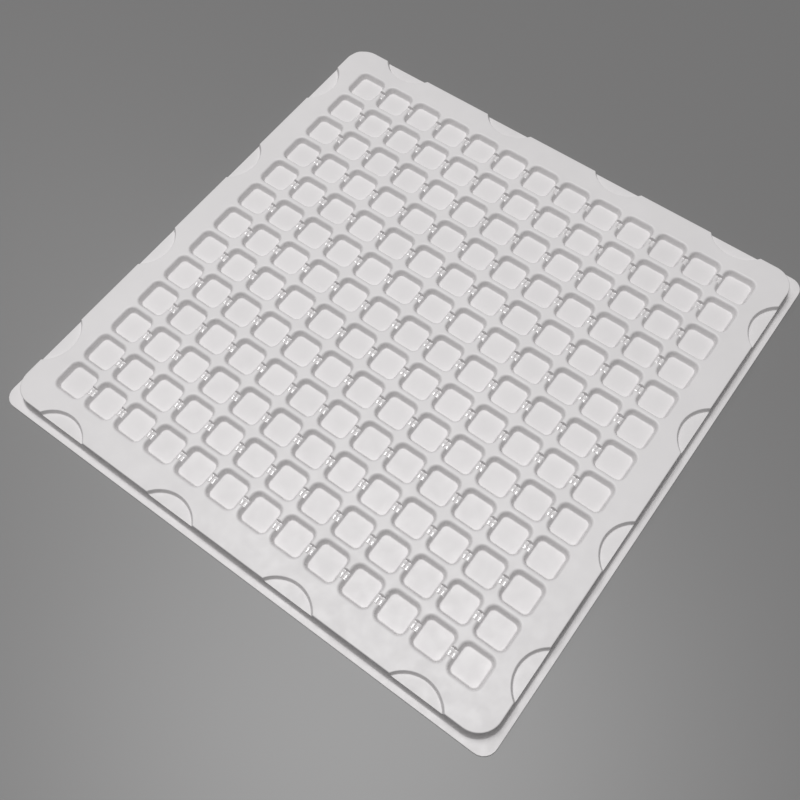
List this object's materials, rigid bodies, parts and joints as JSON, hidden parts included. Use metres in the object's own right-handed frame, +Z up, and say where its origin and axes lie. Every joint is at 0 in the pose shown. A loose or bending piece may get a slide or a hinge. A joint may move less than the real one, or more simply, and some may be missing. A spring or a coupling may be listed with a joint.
{
  "type": "pocketed plug tray",
  "caption": "Shallow square thermoformed tray: a grid of small notched square pockets, half-moon recesses along its edges, a steep skirt and a flat resting flange.",
  "frame": {"origin": "centre of the square tray on the surface that it stands on, level with the underside of the flange", "axes": "+Z up out of the pockets; +X along the rows whose ribs are notched, to the right; +Y to the back"},
  "size_m": [0.326, 0.326, 0.0095],
  "materials": {
    "sheet": "semi-gloss white thermoformed sheet"
  },
  "bodies": {
    "root": {"deck_border_back": "sheet", "deck_border_front": "sheet", "deck_border_left": "sheet", "deck_border_right": "sheet", "flange_back": "sheet", "flange_front": "sheet", "flange_left": "sheet", "flange_right": "sheet", "pocket_row_01": "sheet", "pocket_row_02": "sheet", "pocket_row_03": "sheet", "pocket_row_04": "sheet", "pocket_row_05": "sheet", "pocket_row_06": "sheet", "pocket_row_07": "sheet", "pocket_row_08": "sheet", "pocket_row_09": "sheet", "pocket_row_10": "sheet", "pocket_row_11": "sheet", "pocket_row_12": "sheet", "pocket_row_13": "sheet", "recess_floors_back": "sheet", "recess_floors_front": "sheet", "recess_floors_left": "sheet", "recess_floors_right": "sheet", "rib_01": "sheet", "rib_02": "sheet", "rib_03": "sheet", "rib_04": "sheet", "rib_05": "sheet", "rib_06": "sheet", "rib_07": "sheet", "rib_08": "sheet", "rib_09": "sheet", "rib_10": "sheet", "rib_11": "sheet", "rib_12": "sheet", "rib_13": "sheet", "rib_14": "sheet", "skirt_back": "sheet", "skirt_front": "sheet", "skirt_left": "sheet", "skirt_right": "sheet"}
  },
  "joints": []
}
